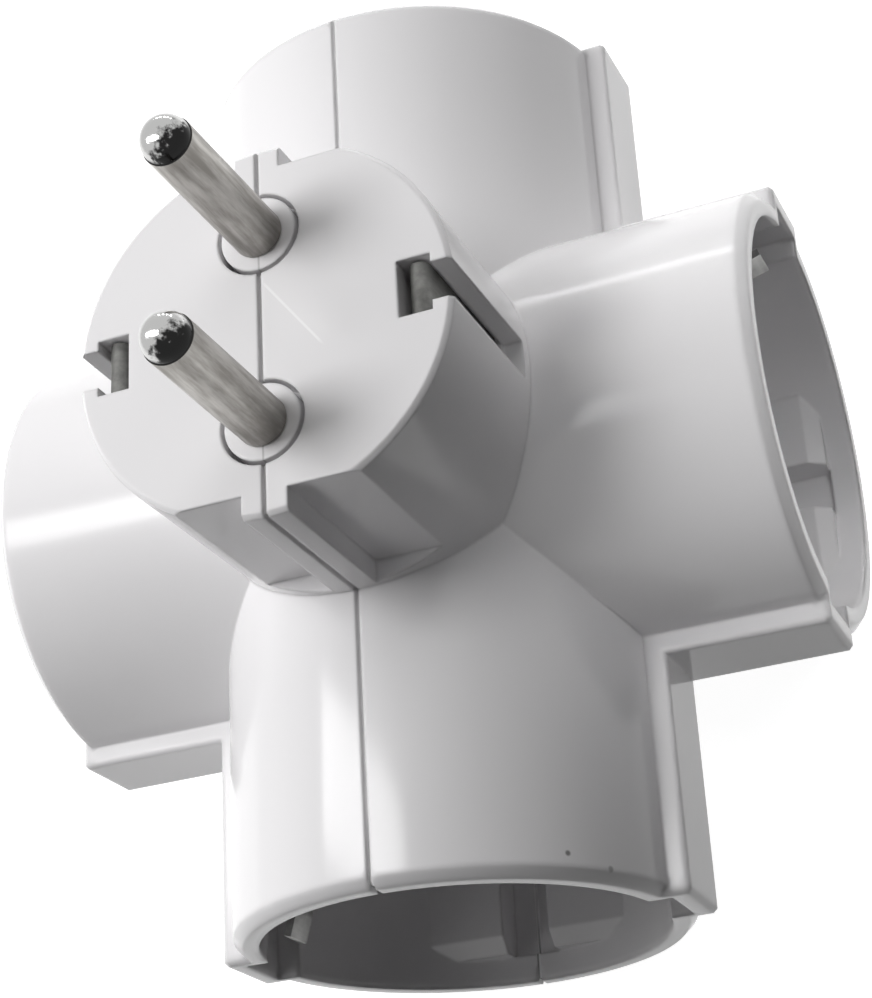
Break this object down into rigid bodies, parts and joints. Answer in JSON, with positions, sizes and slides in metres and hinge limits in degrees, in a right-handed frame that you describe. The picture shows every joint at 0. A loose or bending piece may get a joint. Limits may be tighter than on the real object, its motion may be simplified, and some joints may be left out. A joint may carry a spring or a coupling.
{
  "type": "four-way socket extension",
  "caption": "Cross-shaped plug-in adapter: an earthed plug with two round pins on the front, and earthed round sockets on the ends of crossed arms.",
  "frame": {"origin": "on the plug's axis, at the lowest lines of the arms, where the part lies on its back", "axes": "+Z along the plug's pins, away from the body; +Y along the longer pair of arms; +X along the shorter pair"},
  "size_m": [0.079, 0.093, 0.0815],
  "materials": {
    "housing_plastic": "glossy white moulding",
    "pin_metal": "worn nickel plate with polished tips",
    "contact_brass": "stamped sheet",
    "earth_metal": "nickel-plated spring strip",
    "screw_steel": "zinc-plated"
  },
  "bodies": {
    "root": {"left_housing": "housing_plastic", "right_housing": "housing_plastic", "upper_socket_face": "housing_plastic", "lower_socket_face": "housing_plastic", "pin_bridge": "housing_plastic", "upper_plug_pin": "pin_metal", "lower_plug_pin": "pin_metal", "live_busbar": "contact_brass", "neutral_busbar": "contact_brass", "neutral_link": "contact_brass", "contact_rivets": "contact_brass", "upper_live_contact": "contact_brass", "upper_neutral_contact": "contact_brass", "lower_live_contact": "contact_brass", "lower_neutral_contact": "contact_brass", "right_live_contact": "contact_brass", "right_neutral_contact": "contact_brass", "left_live_contact": "contact_brass", "left_neutral_contact": "contact_brass", "upper_earth_clip": "earth_metal", "lower_earth_clip": "earth_metal", "right_earth_clip": "earth_metal", "left_earth_clip": "earth_metal", "upper_earth_link": "earth_metal", "lower_earth_link": "earth_metal", "left_earth_strip": "earth_metal", "right_earth_strip": "earth_metal", "housing_screw": "screw_steel"}
  },
  "joints": []
}
